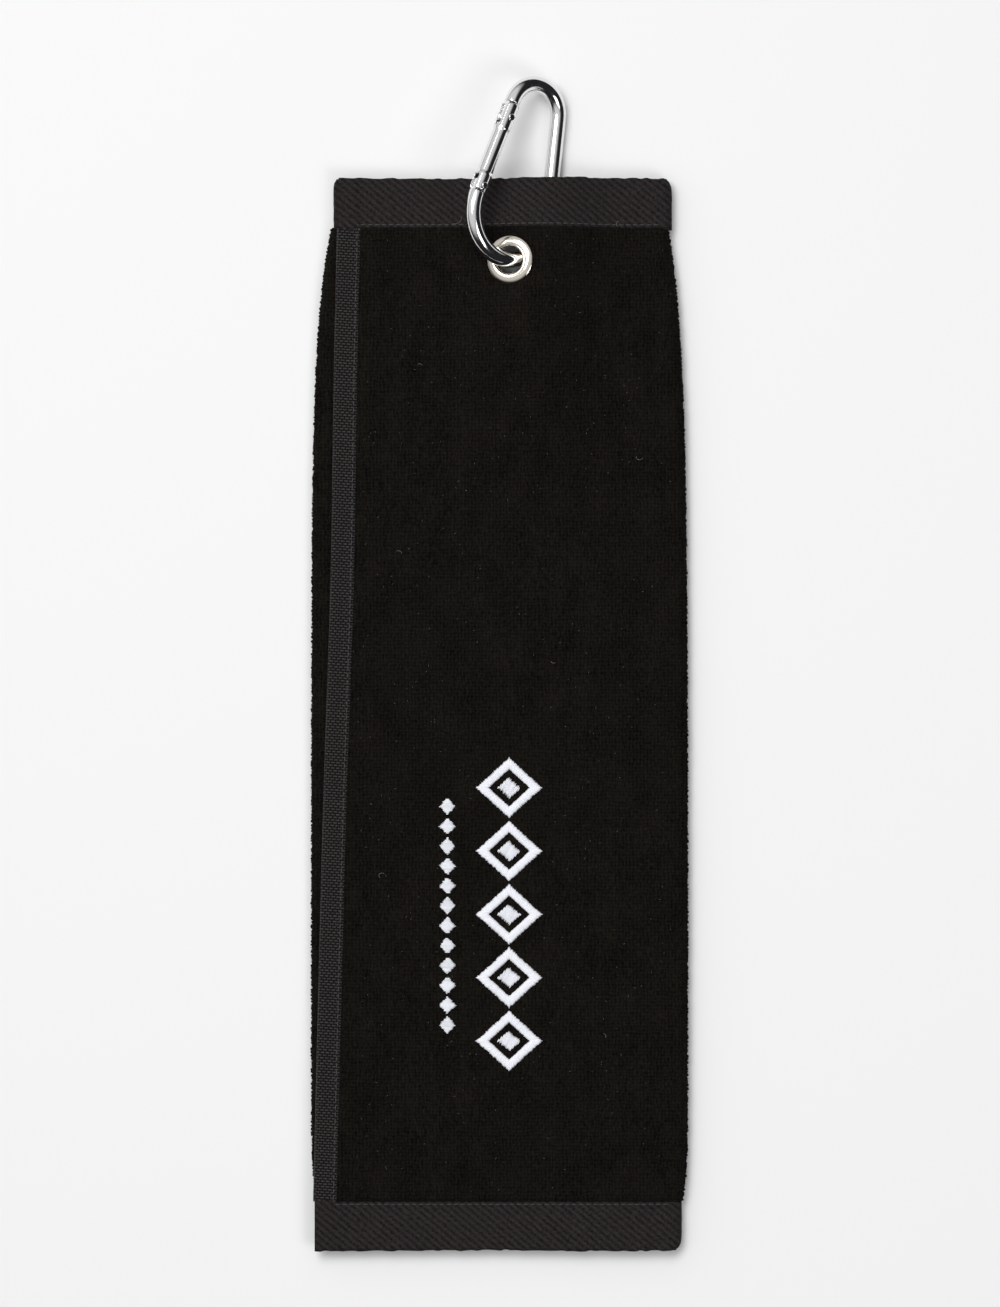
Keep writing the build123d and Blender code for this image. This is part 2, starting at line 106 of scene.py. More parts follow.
# ---- meshes ----
def make_piece(name, points, faces, material, body="towel", smooth=True):
    mesh = bpy.data.meshes.new(name)
    mesh.from_pydata(np.asarray(points, float).reshape(-1, 3) * MM, [], faces)
    mesh.validate()
    shell = bmesh.new()
    shell.from_mesh(mesh)
    bmesh.ops.recalc_face_normals(shell, faces=shell.faces)
    shell.to_mesh(mesh)
    shell.free()
    mesh.materials.append(material)
    if smooth:
        mesh.polygons.foreach_set("use_smooth", [True] * len(mesh.polygons))
    mesh.update()
    piece = bpy.data.objects.new(name, mesh)
    bpy.context.scene.collection.objects.link(piece)
    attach(piece, body)
    return piece


class Gather:
    """Collects many small closed shapes into one mesh."""

    def __init__(self):
        self.points = []
        self.faces = []

    def add(self, points, faces):
        start = len(self.points)
        self.points.extend(points)
        self.faces.extend([tuple(start + i for i in face) for face in faces])

    def tube(self, path, radius, sides=6, squash=1.0, up=(0, 0, 1)):
        """A closed tube along path with tapered ends, flattened along up by squash."""
        path = np.asarray(path, float)
        radius = np.broadcast_to(radius, len(path))
        along = np.gradient(path, axis=0)
        along /= np.linalg.norm(along, axis=1)[:, None]
        side = np.cross(along, np.asarray(up, float))
        side /= np.linalg.norm(side, axis=1)[:, None]
        lifted = np.cross(side, along)
        turns = np.arange(sides) * 2 * math.pi / sides
        points, faces = [path[0]], []
        for centre, a, b, r in zip(path, side, lifted, radius):
            points += [centre + r * (math.cos(t) * a + squash * math.sin(t) * b) for t in turns]
        points.append(path[-1])
        last = len(path) - 1
        for i in range(sides):
            j = (i + 1) % sides
            faces.append((0, 1 + j, 1 + i))
            for k in range(last):
                row = 1 + k * sides
                faces.append((row + i, row + j, row + sides + j, row + sides + i))
            faces.append((len(points) - 1, 1 + last * sides + i, 1 + last * sides + j))
        self.add(points, faces)

    def piece(self, name, material, body="towel"):
        return make_piece(name, self.points, self.faces, material, body)


def folded_path(left, right, front, inner, fine):
    """Middle line of the C-folded cloth from the inner flap's edge to the front flap's.

    Returns x, z and the outward normal of each sample. fine is the step on the front flap.
    """
    small, large = PITCH / 2, PITCH
    left_fold = left + small + VELOUR / 2
    right_fold = right - large - VELOUR / 2
    xs, zs, nx, nz = [], [], [], []

    def stretch(start, end, z, up, count):
        for t in np.linspace(0, 1, count, endpoint=False):
            xs.append(start + (end - start) * t)
            zs.append(z)
            nx.append(0.0)
            nz.append(up)

    def turn(x, middle, radius, first, last, count):
        for a in np.radians(np.linspace(first, last, count, endpoint=False)):
            xs.append(x + radius * math.cos(a))
            zs.append(middle + radius * math.sin(a))
            nx.append(math.cos(a))
            nz.append(math.sin(a))

    stretch(inner, left_fold, INNER, 1.0, 34)
    turn(left_fold, (INNER + BACK) / 2, small, 90, 270, 12)
    stretch(left_fold, right_fold, BACK, -1.0, 36)
    turn(right_fold, (FRONT + BACK) / 2, large, -90, 90, 18)
    stretch(right_fold, front, FRONT, 1.0, int(130 / fine))
    xs.append(front)
    zs.append(FRONT)
    nx.append(0.0)
    nz.append(1.0)
    return (np.array(v) for v in (xs, zs, nx, nz))


def hash_noise(x, y, scale, seed):
    """Smooth value noise between -1 and 1 on a grid of the given scale."""
    gx, gy = x / scale, y / scale
    ix, iy = np.floor(gx), np.floor(gy)
    fx, fy = ease(gx - ix), ease(gy - iy)

    def corner(a, b):
        value = np.sin(a * 127.1 + b * 311.7 + seed * 74.7) * 43758.5453
        return 2 * (value - np.floor(value)) - 1

    low = corner(ix, iy) * (1 - fx) + corner(ix + 1, iy) * fx
    high = corner(ix, iy + 1) * (1 - fx) + corner(ix + 1, iy + 1) * fx
    return low * (1 - fy) + high * fy


def sag(x, y):
    """Slow unevenness of a cloth that lies loosely, up to about half a millimetre."""
    return 0.32 * hash_noise(x, y, 34.0, 1) + 0.16 * hash_noise(x, y, 13.0, 2)


def dimple(x, y):
    """How far the eyelet presses the pile down, from 1 at its rim to 0 outside."""
    away = np.hypot(x - EYELET_X, (y - EYELET_Y))
    return ease((15.0 - away) / 6.5)


def folded_cloth(name, material, ys, half, left, right, front, inner, fine, pile):
    """One closed sheet folded in thirds; pile is the height of its surface's clumps."""
    rows = []
    for y in ys:
        x, z, nx, nz = folded_path(left(y), right(y), front(y), inner(y), fine)
        rise = lift(x, y) + np.where(z > BACK + 0.1, sag(x, y) * ease((z - BACK) / 3.0), 0.0)
        clump = hash_noise(x + z * 9.0, np.full_like(x, y), 1.7, 3)
        clump += 0.6 * hash_noise(x - z * 7.0, np.full_like(x, y), 3.9, 4)
        outer = half + pile * clump * (1 + 1.6 * np.abs(nx))
        press = dimple(x, y)
        middle = STACK / 2
        squeezed = z + (middle - z) * 0.62 * press
        low = half * (1 - 0.35 * press)
        outer = outer * (1 - 0.35 * press)
        over_binding = ease((front(y) + BINDING_WIDTH - 0.3 - x) / 0.8) * (z > INNER + 0.1)
        if pile < 0.1:
            outer = outer + 0.55 * over_binding
        selvedge = max(abs(y) - HALF_LENGTH + 1.0, 0.0) * math.copysign(1.0, y)
        row = y + selvedge * (0.3 * hash_noise(x, z * 3.0, 2.1, 5) + 0.3 * hash_noise(x, z, 19.0, 6))
        a = np.stack([x + nx * outer, row, squeezed + nz * outer + rise], 1)
        b = np.stack([x - nx * low, row, squeezed - nz * low + rise], 1)
        a[:, 2] = np.maximum(a[:, 2], 0.02)
        rows.append(np.concatenate([a, b[::-1]]))
    points = np.array(rows)
    count, ring = points.shape[:2]
    samples = ring // 2
    outer_side, inner_side = points[:, :samples], points[:, samples:][:, ::-1]
    middle = (outer_side + inner_side) / 2
    axis_x = EYELET_X - EYELET_TILT * (middle[:, :, 2] - EYELET_Z)
    away = middle[:, :, :2] - np.stack([axis_x, np.full_like(axis_x, EYELET_Y)], 2)
    centre = (away[1:, 1:] + away[1:, :-1] + away[:-1, 1:] + away[:-1, :-1]) / 4
    cut = np.hypot(centre[:, :, 0], centre[:, :, 1]) < HOLE

    def index(r, i, inside):
        return r * ring + (ring - 1 - i if inside else i)

    faces = []
    for r in range(count - 1):
        for i in range(samples - 1):
            if not cut[r, i]:
                quad = [(r, i), (r, i + 1), (r + 1, i + 1), (r + 1, i)]
                faces.append(tuple(index(a, b, False) for a, b in quad))
                faces.append(tuple(index(a, b, True) for a, b in quad[::-1]))
        for i in (0, samples - 1):
            upper = (index(r, i, False), index(r + 1, i, False))
            faces.append((*upper, index(r + 1, i, True), index(r, i, True)))
    for r in (0, count - 1):
        for i in range(samples - 1):
            upper = (index(r, i, False), index(r, i + 1, False))
            faces.append((*upper, index(r, i + 1, True), index(r, i, True)))
    rim = set()
    for r, i in zip(*np.nonzero(cut)):
        sides = (((r - 1, i), (r, i), (r, i + 1)), ((r + 1, i), (r + 1, i), (r + 1, i + 1)),
                 ((r, i - 1), (r, i), (r + 1, i)), ((r, i + 1), (r, i + 1), (r + 1, i + 1)))
        for beside, p, q in sides:
            if not cut[beside]:
                faces.append((index(*p, False), index(*q, False), index(*q, True), index(*p, True)))
                rim |= {p, q}
    for r, i in rim:
        shift = away[r, i] * (HOLE / np.hypot(*away[r, i]) - 1)
        points[r, i, :2] += shift
        points[r, ring - 1 - i, :2] += shift
    flat_points = points.reshape(-1, 3)
    return make_piece(name, flat_points, faces, material)


# ---- materials ----
def new_material(name, color, roughness, metallic=0.0, sheen=0.0, sheen_tint=(1, 1, 1)):
    material = bpy.data.materials.new(name)
    material.use_nodes = True
    tree = material.node_tree
    shader = tree.nodes["Principled BSDF"]
    shader.inputs["Base Color"].default_value = (*color, 1)
    shader.inputs["Roughness"].default_value = roughness
    shader.inputs["Metallic"].default_value = metallic
    shader.inputs["Sheen Weight"].default_value = sheen
    shader.inputs["Sheen Tint"].default_value = (*sheen_tint, 1)
    shader.inputs["Sheen Roughness"].default_value = 0.45
    return material, tree, shader


def node(tree, kind, **values):
    made = tree.nodes.new(kind)
    for key, value in values.items():
        if hasattr(made, key):
            setattr(made, key, value)
        else:
            made.inputs[key.replace("_", " ")].default_value = value
    return made


def scaled_coordinates(tree, scale, rotation=(0, 0, 0)):
    """Object coordinates turned and scaled, so that one unit is 1 / scale metres."""
    place = node(tree, "ShaderNodeTexCoord")
    mapping = node(tree, "ShaderNodeMapping")
    mapping.inputs["Scale"].default_value = scale
    mapping.inputs["Rotation"].default_value = rotation
    tree.links.new(place.outputs["Object"], mapping.inputs["Vector"])
    return mapping.outputs["Vector"]


def wave(tree, across, distortion, detail):
    """Parallel lines across the given axis, made uneven by distortion."""
    lines = node(tree, "ShaderNodeTexWave", bands_direction=across, Scale=1.0)
    lines.inputs["Distortion"].default_value = distortion
    lines.inputs["Detail"].default_value = detail
    return lines


def mix_color(tree, factor, low, high):
    ramp = node(tree, "ShaderNodeValToRGB")
    ramp.color_ramp.elements[0].color = (*low, 1)
    ramp.color_ramp.elements[1].color = (*high, 1)
    tree.links.new(factor, ramp.inputs["Fac"])
    return ramp


def bump(tree, shader, height, strength, distance, before=None):
    made = node(tree, "ShaderNodeBump")
    made.inputs["Strength"].default_value = strength
    made.inputs["Distance"].default_value = distance
    tree.links.new(height, made.inputs["Height"])
    if before is not None:
        tree.links.new(before.outputs["Normal"], made.inputs["Normal"])
    tree.links.new(made.outputs["Normal"], shader.inputs["Normal"])
    return made


def velour_material():
    """Deep black pile: fine fibre noise, faint ribs of the ground weave and slow shading."""
    black, warm = (0.004, 0.0036, 0.003), (1.0, 0.9, 0.8)
    material, tree, shader = new_material("velour", black, 0.95, 0.0, 0.025, warm)
    shader.inputs["Specular IOR Level"].default_value = 0.03
    fibre = node(tree, "ShaderNodeTexNoise", Scale=1.0, Detail=3.0, Roughness=0.7)
    tree.links.new(scaled_coordinates(tree, (1500, 620, 1500)), fibre.inputs["Vector"])
    patch = node(tree, "ShaderNodeTexNoise", Scale=1.0, Detail=2.0)
    tree.links.new(scaled_coordinates(tree, (110, 60, 110)), patch.inputs["Vector"])
    total = fibre.outputs["Fac"]
    for across in ("X", "Y"):
        yarns = wave(tree, across, 5.0, 3.0)
        tree.links.new(scaled_coordinates(tree, (240, 240, 240)), yarns.inputs["Vector"])
        added = node(tree, "ShaderNodeMath", operation="MULTIPLY_ADD")
        added.inputs[1].default_value = 0.11
        tree.links.new(yarns.outputs["Fac"], added.inputs[0])
        tree.links.new(total, added.inputs[2])
        total = added.outputs[0]
    shade = node(tree, "ShaderNodeMath", operation="MULTIPLY_ADD")
    shade.inputs[1].default_value = 0.3
    tree.links.new(patch.outputs["Fac"], shade.inputs[0])
    tree.links.new(total, shade.inputs[2])
    ramp = mix_color(tree, shade.outputs[0], (0.0012, 0.0011, 0.0009), (0.0125, 0.0106, 0.0086))
    ramp.color_ramp.elements[0].position = 0.5
    ramp.color_ramp.elements[1].position = 1.0
    tree.links.new(ramp.outputs["Color"], shader.inputs["Base Color"])
    bump(tree, shader, total, 0.9, 0.0006)
    return material


def twill_material():
    """Flat woven band: steep diagonal lines with a thread speckle."""
    material, tree, shader = new_material("band_twill", (0.02, 0.018, 0.018), 0.9, sheen=0.03)
    shader.inputs["Specular IOR Level"].default_value = 0.06
    lines = wave(tree, "X", 0.6, 1.0)
    slanted = scaled_coordinates(tree, (150, 150, 150), (0, 0, math.radians(-50)))
    tree.links.new(slanted, lines.inputs["Vector"])
    speckle = node(tree, "ShaderNodeTexNoise", Scale=1.0, Detail=2.0, Roughness=0.6)
    tree.links.new(scaled_coordinates(tree, (1300, 1300, 1300)), speckle.inputs["Vector"])
    total = node(tree, "ShaderNodeMath", operation="MULTIPLY_ADD")
    total.inputs[1].default_value = 0.28
    tree.links.new(lines.outputs["Fac"], total.inputs[0])
    tree.links.new(speckle.outputs["Fac"], total.inputs[2])
    ramp = mix_color(tree, total.outputs[0], (0.006, 0.0052, 0.0052), (0.033, 0.028, 0.028))
    ramp.color_ramp.elements[0].position = 0.35
    ramp.color_ramp.elements[1].position = 0.95
    tree.links.new(ramp.outputs["Color"], shader.inputs["Base Color"])
    bump(tree, shader, total.outputs[0], 0.55, 0.0004)
    return material


def tape_material():
    """Side binding: pebbled rows across the tape."""
    material, tree, shader = new_material("binding_tape", (0.028, 0.026, 0.025), 0.88, sheen=0.08)
    shader.inputs["Specular IOR Level"].default_value = 0.15
    pebbles = node(tree, "ShaderNodeTexBrick", Scale=1.0)
    pebbles.inputs["Mortar Size"].default_value = 0.11
    pebbles.inputs["Mortar Smooth"].default_value = 1.0
    tree.links.new(scaled_coordinates(tree, (270, 245, 270), (0, 0, 0.06)), pebbles.inputs["Vector"])
    yarn = node(tree, "ShaderNodeTexNoise", Scale=1.0, Detail=2.0)
    tree.links.new(scaled_coordinates(tree, (1400, 1400, 1400)), yarn.inputs["Vector"])
    total = node(tree, "ShaderNodeMath", operation="MULTIPLY_ADD")
    total.inputs[1].default_value = -0.75
    tree.links.new(pebbles.outputs["Fac"], total.inputs[0])
    tree.links.new(yarn.outputs["Fac"], total.inputs[2])
    ramp = mix_color(tree, total.outputs[0], (0.003, 0.0028, 0.0027), (0.078, 0.069, 0.066))
    ramp.color_ramp.elements[0].position = 0.0
    ramp.color_ramp.elements[1].position = 0.8
    tree.links.new(ramp.outputs["Color"], shader.inputs["Base Color"])
    bump(tree, shader, total.outputs[0], 0.9, 0.0004)
    return material


def thread_material(name, color, sheen):
    material, tree, shader = new_material(name, color, 0.55, sheen=sheen)
    twist = node(tree, "ShaderNodeTexNoise", Scale=1.0, Detail=2.0)
    tree.links.new(scaled_coordinates(tree, (2500, 2500, 2500)), twist.inputs["Vector"])
    low = tuple(c * 0.82 for c in color)
    ramp = mix_color(tree, twist.outputs["Fac"], low, color)
    tree.links.new(ramp.outputs["Color"], shader.inputs["Base Color"])
    bump(tree, shader, twist.outputs["Fac"], 0.3, 0.0001)
    return material


def metal_material(name, color, roughness):
    """Polished plating with faint handling marks in its roughness."""
    material, tree, shader = new_material(name, color, roughness, metallic=1.0)
    scratches = node(tree, "ShaderNodeTexNoise", Scale=1.0, Detail=3.0)
    tree.links.new(scaled_coordinates(tree, (420, 900, 420)), scratches.inputs["Vector"])
    spread = node(tree, "ShaderNodeMapRange")
    spread.inputs["To Min"].default_value = roughness * 0.6
    spread.inputs["To Max"].default_value = roughness * 1.6
    tree.links.new(scratches.outputs["Fac"], spread.inputs["Value"])
    tree.links.new(spread.outputs["Result"], shader.inputs["Roughness"])
    return material


VELOUR_PILE = velour_material()
TWILL = twill_material()
TAPE = tape_material()
SEAM = thread_material("seam_thread", (0.035, 0.033, 0.033), 0.1)
SATIN = thread_material("embroidery_thread", (0.93, 0.94, 1.0), 0.3)
NICKEL = metal_material("nickel", (0.72, 0.67, 0.59), 0.12)
CHROME = metal_material("polished_rod", (0.82, 0.82, 0.82), 0.1)
STEEL = metal_material("spring_steel", (0.6, 0.6, 0.6), 0.25)


# ---- cloth ----
def inner_edge(y):
    return INNER_EDGE


velour_rows = np.linspace(-VELOUR_END, VELOUR_END, 227)
velour = folded_cloth(
    "velour_towel", VELOUR_PILE, velour_rows, VELOUR / 2, velour_left, velour_right,
    lambda y: front_edge(y) + BINDING_WIDTH + 0.2, lambda y: inner_edge(y) - BINDING_WIDTH - 0.2, 1.35, 0.14,
)
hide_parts("velour_cloth")

top_rows = np.linspace(VELOUR_END - 0.6, HALF_LENGTH, 15)
top_band = folded_cloth(
    "woven_top_band", TWILL, top_rows, BAND / 2, band_left, band_right,
    lambda y: front_edge(VELOUR_END) + 0.6, inner_edge, 1.0, 0.04,
)
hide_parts("top_band")

bottom_rows = np.linspace(-HALF_LENGTH, -VELOUR_END + 0.6, 15)
bottom_band = folded_cloth(
    "woven_bottom_band", TWILL, bottom_rows, BAND / 2, band_left, band_right,
    lambda y: front_edge(-VELOUR_END) + 0.6, inner_edge, 1.0, 0.04,
)
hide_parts("bottom_band")


# ---- side bindings and their seams ----
def binding(name, edge, level, towards, node_name):
    """Tape folded round a free edge; towards is 1 where the cloth lies to its right."""
    ys = np.arange(-VELOUR_END, VELOUR_END + 0.01, 1.5)
    profile = []
    steps = 10
    for i in range(steps + 1):
        profile.append((BINDING_WIDTH * (1 - i / steps), 1.0))
    for a in np.linspace(90, 270, 9)[1:-1]:
        profile.append((0.9 * math.cos(math.radians(a)), math.sin(math.radians(a))))
    for i in range(steps + 1):
        profile.append((BINDING_WIDTH * i / steps, -1.0))
    points, faces = [], []
    for k, y in enumerate(ys):
        for across, side in profile:
            x = edge(y) + towards * (across + 0.9)
            swell = 0.02 * (k % 2) + 0.12 * math.sin(across * 1.1)
            rise = float(lift(x, y)) + float(sag(x, y)) * 0.8
            z = level + side * (BINDING / 2 + (swell if side > 0 else 0)) + rise
            points.append((x, y, max(z, 0.02)))
    ring = len(profile)
    for k in range(len(ys) - 1):
        for i in range(ring):
            j = (i + 1) % ring
            faces.append((k * ring + i, k * ring + j, (k + 1) * ring + j, (k + 1) * ring + i))
    faces.append(tuple(range(ring))[::-1])
    faces.append(tuple((len(ys) - 1) * ring + i for i in range(ring)))
    piece = make_piece(name, points, faces, TAPE)
    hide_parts(node_name)
    return piece


front_tape = binding("front_edge_binding", front_edge, FRONT, 1, "front_binding")
inner_tape = binding("inner_edge_binding", inner_edge, INNER, -1, "inner_binding")


def cloth_top(x, y, half):
    """Height of the front flap's surface."""
    return FRONT + half + float(lift(x, y)) + float(sag(x, y))


def stitches(name, starts, node_name, half):
    """A row of short thread stitches lying on the cloth between the given points."""
    made = Gather()
    for (x0, y0), (x1, y1) in zip(starts[:-1], starts[1:]):
        path = []
        for t in np.linspace(0.08, 0.86, 6):
            x, y = x0 + (x1 - x0) * t, y0 + (y1 - y0) * t
            arch = 0.16 * math.sin(math.pi * (t - 0.08) / 0.78)
            path.append((x, y, cloth_top(x, y, half) + arch))
        made.tube(path, [0.09, 0.2, 0.22, 0.22, 0.2, 0.09], 6)
    piece = made.piece(name, SEAM)
    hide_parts(node_name)
    return piece


stitch = 2.6
top_seam = [(x, VELOUR_END + 1.1) for x in np.arange(-60.0, 60.0, stitch)]
bottom_seam = [(x, -VELOUR_END - 1.1) for x in np.arange(-67.0, 64.0, stitch)]
side_x = BINDING_WIDTH - 0.3
side_seam = [(front_edge(y) + side_x, y) for y in np.arange(-VELOUR_END, VELOUR_END, stitch)]
stitches("top_seam", top_seam, "top_band_stitching", BAND / 2)
stitches("bottom_seam", bottom_seam, "bottom_band_stitching", BAND / 2)
stitches("side_seam", side_seam, "front_binding_stitching", BINDING / 2)

# ---- embroidery: satin threads across each side of a lozenge ----
MOTIF_X, MOTIF_Y, MOTIF_LENGTH, MOTIF_HEIGHT, MOTIF_COUNT = 3.4, -74.5, 118.0, 25.0, 5
LINE_X, LINE_Y, LINE_LENGTH, LINE_HEIGHT, LINE_COUNT = -19.6, -75.0, 89.0, 7.0, 12
GAP = 0.8
STROKE = 3.4
THREAD_STEP = 0.46
THREAD_RADIUS = 0.24


def satin_thread(made, start, end, height):
    """One thread that rises over the padding and dives in at both ends."""
    start, end = np.array(start), np.array(end)
    length = np.linalg.norm(end - start)
    if length < 0.5:
        return
    wobble = rng.uniform(-0.07, 0.07)
    path = []
    for t in np.linspace(0, 1, 8):
        x, y = start + (end - start) * t
        rise = height * min(1.0, length / 3.0) * (1 - (2 * t - 1) ** 4) + wobble
        path.append((x, y, cloth_top(x, y, VELOUR / 2) - 0.25 + rise))
    radius = THREAD_RADIUS * rng.uniform(0.85, 1.1)
    made.tube(path, [0.1] + [radius] * 6 + [0.1], 6, 0.9)


def fill_lozenge(made, cx, cy, length, height, lean, rise):
    """Threads across a solid lozenge, all leaning the same way."""
    direction = np.array([math.sin(lean), math.cos(lean)])
    normal = np.array([direction[1], -direction[0]])
    reach = max(length, height)
    for offset in np.arange(-reach / 2, reach / 2, THREAD_STEP):
        hits = []
        for t in np.linspace(-reach, reach, 160):
            p = normal * offset + direction * t
            if abs(p[0]) / (height / 2) + abs(p[1]) / (length / 2) <= 1:
                hits.append(p)
        if len(hits) > 1:
            jitter = rng.uniform(-0.3, 0.3, 2)
            first = (cx, cy) + hits[0] - direction * jitter[0]
            last = (cx, cy) + hits[-1] + direction * jitter[1]
            satin_thread(made, first, last, rise)


def open_lozenge(made, cx, cy, length, height):
    """Four satin strokes round an open lozenge."""
    share = 1 - STROKE / (length * height / 2 / math.hypot(length, height))
    corners = [np.array(c) for c in ((height / 2, 0), (0, length / 2), (-height / 2, 0), (0, -length / 2))]
    for a, b in zip(corners, corners[1:] + corners[:1]):
        side = np.linalg.norm(b - a)
        count = int(side / THREAD_STEP)
        for i in range(count + 1):
            t = i / count
            outer = a + (b - a) * t
            jitter = rng.uniform(-0.26, 0.26, 2)
            first = (cx, cy) + outer * (1 + jitter[0] / 12)
            last = (cx, cy) + outer * share * (1 + jitter[1] / 12)
            satin_thread(made, first, last, 0.75)


motif = Gather()
motif_pitch = MOTIF_LENGTH / MOTIF_COUNT
for k in range(MOTIF_COUNT):
    cy = MOTIF_Y + (k - (MOTIF_COUNT - 1) / 2) * motif_pitch
    open_lozenge(motif, MOTIF_X, cy, motif_pitch - GAP, MOTIF_HEIGHT)
    fill_lozenge(motif, MOTIF_X, cy, (motif_pitch - GAP) * 0.36, MOTIF_HEIGHT * 0.36, 0.5, 0.85)
motif_piece = motif.piece("satin_lozenges", SATIN)
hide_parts("embroidery_motif")

small = Gather()
line_pitch = LINE_LENGTH / LINE_COUNT
for k in range(LINE_COUNT):
    cy = LINE_Y + (k - (LINE_COUNT - 1) / 2) * line_pitch
    fill_lozenge(small, LINE_X, cy, line_pitch - GAP, LINE_HEIGHT, math.pi / 2, 0.6)
small_piece = small.piece("satin_line", SATIN)
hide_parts("embroidery_line")

# ---- tufts and fibres that stand out along the pile's edges ----
FOLDS = (
    (velour_left, -1, (INNER + BACK) / 2, 2.5),
    (velour_right, 1, STACK / 2, 3.8),
)
fuzz = Gather()


def tuft(x, y, z, direction, length, radius):
    """A short blunt loop of pile."""
    start = np.array([x, y, z])
    direction = np.asarray(direction, float)
    path = [start + direction * length * t for t in (0.0, 0.35, 0.7, 0.92, 1.0)]
    for point in path:
        point[2] = max(point[2], radius + 0.02)
    fuzz.tube(path, radius * np.array([0.7, 1.0, 0.95, 0.6, 0.15]), 4, up=(0.1, 0.2, 1.0))


def fibre(x, y, z, dx, dy, dz, length, width=0.09):
    """One tuft end: a thin closed spike."""
    tip = np.array([x + dx * length, y + dy * length, z + dz * length])
    side = np.cross((dx, dy, dz), rng.normal(size=3))
    side = side / np.linalg.norm(side) * width
    other = np.cross((dx, dy, dz), side)
    base = np.array([x, y, max(z, width + 0.02)])
    tip[2] = max(tip[2], 0.02)
    ring = [base + side, base - 0.5 * side + 0.87 * other, base - 0.5 * side - 0.87 * other]
    fuzz.add([*ring, tip], [(0, 1, 3), (1, 2, 3), (2, 0, 3), (2, 1, 0)])


for y in np.arange(-VELOUR_END, VELOUR_END, 0.4):
    for outline, out, middle, radius in FOLDS:
        for _ in range(3):
            a = rng.uniform(-0.9, 0.9)
            x = outline(y) - out * radius + out * radius * math.cos(a) - out * 0.15
            z = middle + radius * math.sin(a)
            along = rng.normal(0, 0.35)
            fibre(x, y, z, out * math.cos(a), along, math.sin(a) * 0.6, rng.uniform(0.35, 1.15))
for y in np.arange(-VELOUR_END + 0.4, VELOUR_END, 1.25):
    for outline, out, middle, radius in FOLDS:
        for a in np.arange(-1.2, 1.25, 0.48):
            turn = a + rng.uniform(-0.12, 0.12)
            spot = y + rng.uniform(-0.35, 0.35)
            x = outline(spot) - out * radius + out * (radius - 0.9) * math.cos(turn)
            z = middle + (radius - 0.9) * math.sin(turn)
            direction = (out * math.cos(turn), rng.normal(0, 0.15), math.sin(turn))
            tuft(x, spot, z, direction, rng.uniform(1.05, 1.6), rng.uniform(0.45, 0.7))
for end in (-1, 1):
    for x in np.arange(-66.0, 66.0, 0.22):
        if front_edge(0) + 10 < x < 64:
            y = end * (VELOUR_END - 0.1)
            z = cloth_top(x, y, VELOUR / 2) - rng.uniform(0.0, 0.8)
            fibre(x, y, z, rng.normal(0, 0.3), end * 1.0, rng.uniform(0.0, 0.4), rng.uniform(0.25, 0.7))
for y in np.arange(EYELET_Y - 11, EYELET_Y + 11, 0.35):
    for x in np.arange(EYELET_X - 12, EYELET_X + 12, 0.5):
        ring = math.hypot(x - EYELET_X, y - EYELET_Y)
        if 8.9 < ring < 11.5 and y < VELOUR_END - 0.5:
            z = cloth_top(x, y, VELOUR / 2) - 3.6 * float(dimple(x, y))
            outward = rng.normal(0, 0.5, 2)
            fibre(x, y, z, outward[0], outward[1], 1.0, rng.uniform(0.3, 0.7))
fuzz_piece = fuzz.piece("pile_fibres", VELOUR_PILE)

# ---- a few pale lint fibres lying on the pile ----
lint = Gather()
curls = (
    (-17.0, 185.0, 2.6), (45.0, 183.0, 1.6), (52.0, 96.0, 1.2), (-38.0, 60.0, 1.4),
    (20.0, 20.0, 1.0), (-44.0, -60.0, 1.2), (38.0, -120.0, 1.5), (-30.0, 130.0, 1.1),
)
for spot_x, spot_y, size in curls:
    curl = rng.uniform(0, 6.3)
    arc = rng.uniform(1.5, 3.6)
    bits = []
    for t in np.linspace(0, 1, 9):
        a = curl + arc * t
        x, y = spot_x + size * math.cos(a), spot_y + 0.8 * size * math.sin(a)
        bits.append((x, y, cloth_top(x, y, VELOUR / 2) + 0.25))
    lint.tube(bits, [0.03] + [0.06] * 7 + [0.03], 5)
for _ in range(420):
    x, y = rng.uniform(-55.0, 64.0), rng.uniform(-178.0, 180.0)
    heading = rng.uniform(0, 6.3)
    size = rng.uniform(0.15, 0.4)
    z = cloth_top(x, y, VELOUR / 2) + 0.22
    if math.hypot(x - EYELET_X, y - EYELET_Y) > 15:
        step = np.array([math.cos(heading), math.sin(heading), 0.0]) * size
        middle = np.array([x, y, z])
        lint.tube([middle - step, middle + (0, 0, 0.05), middle + step], [0.02, 0.05, 0.02], 4)
LINT = thread_material("lint", (0.22, 0.2, 0.19), 0.2)
lint_piece = lint.piece("lint_fibres", LINT)

# ---- CAD pieces that stay: metal parts and the hidden seam ----
for name, material in (
    ("eyelet", NICKEL), ("eyelet_washer", NICKEL), ("carabiner_body", CHROME), ("carabiner_gate", CHROME),
    ("gate_hinge_pin", CHROME), ("gate_latch_pin", CHROME), ("gate_spring", STEEL), ("gate_plunger", STEEL),
    ("inner_binding_stitching", SEAM),
):
    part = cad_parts[name]
    part.data.materials.clear()
    part.data.materials.append(material)
    if name in ("carabiner_body", "carabiner_gate", "eyelet"):
        even = part.modifiers.new("even", "REMESH")
        even.mode = "VOXEL"
        even.voxel_size = 0.00022
        even.use_smooth_shade = True
        polish = part.modifiers.new("polish", "SMOOTH")
        polish.factor = 0.5
        polish.iterations = 6

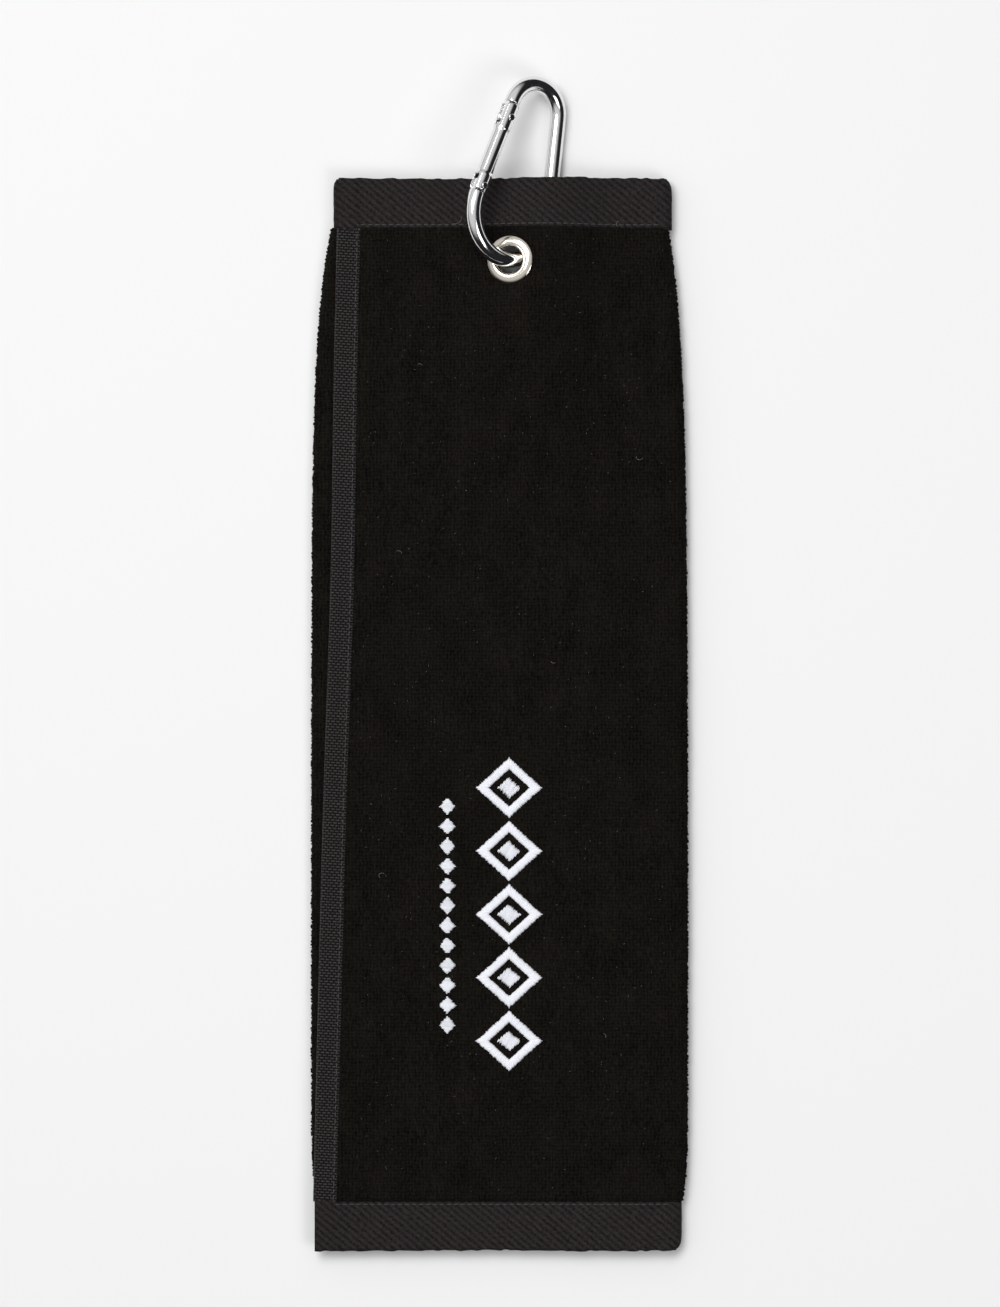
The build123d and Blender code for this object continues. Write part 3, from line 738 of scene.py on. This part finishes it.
# ---- floor, light and camera ----
floor_mesh = bpy.data.meshes.new("floor")
reach = 3.0
floor_mesh.from_pydata(
    [(-reach, -reach, 0), (reach, -reach, 0), (reach, reach, 0), (-reach, reach, 0)], [], [(0, 1, 2, 3)]
)
floor_material = new_material("floor_white", (0.86, 0.86, 0.86), 0.9)[0]
floor_mesh.materials.append(floor_material)
floor = bpy.data.objects.new("floor", floor_mesh)
bpy.context.scene.collection.objects.link(floor)

world = bpy.data.worlds.new("studio")
bpy.context.scene.world = world
world.use_nodes = True
sky = world.node_tree
direction = node(sky, "ShaderNodeTexCoord")
toward_window = node(sky, "ShaderNodeVectorMath", operation="DOT_PRODUCT")
toward_window.inputs[1].default_value = (-0.42, 0.3, 0.86)
sky.links.new(direction.outputs["Generated"], toward_window.inputs[0])
room = mix_color(sky, toward_window.outputs["Value"], (0.025, 0.025, 0.028), (1.0, 1.0, 1.0))
room.color_ramp.elements[0].position = 0.38
room.color_ramp.elements[1].position = 0.72
sky.links.new(room.outputs["Color"], sky.nodes["Background"].inputs["Color"])
sky.nodes["Background"].inputs["Strength"].default_value = 0.7
bpy.context.scene.view_settings.view_transform = "Standard"


def soft_light(name, place, size, power):
    data = bpy.data.lights.new(name, "AREA")
    data.shape = "RECTANGLE"
    data.size, data.size_y = size
    data.energy = power
    lamp = bpy.data.objects.new(name, data)
    lamp.location = place
    lamp.rotation_euler = (Vector((0, 0, 0)) - Vector(place)).to_track_quat("-Z", "Y").to_euler()
    bpy.context.scene.collection.objects.link(lamp)


soft_light("key_upper_left", (-0.62, 0.7, 1.9), (1.2, 1.0), 26)
soft_light("fill_right", (1.1, -0.9, 1.8), (1.0, 1.0), 11.2)

camera_data = bpy.data.cameras.new("camera")
camera = bpy.data.objects.new("camera", camera_data)
bpy.context.scene.collection.objects.link(camera)
bpy.context.scene.camera = camera
distance = 2.0
frame_height = 0.4875
camera_data.sensor_fit = "VERTICAL"
camera_data.sensor_height = 24.0
camera_data.lens = camera_data.sensor_height * distance / frame_height
camera.location = (0.0, 0.0228, distance + STACK * MM)
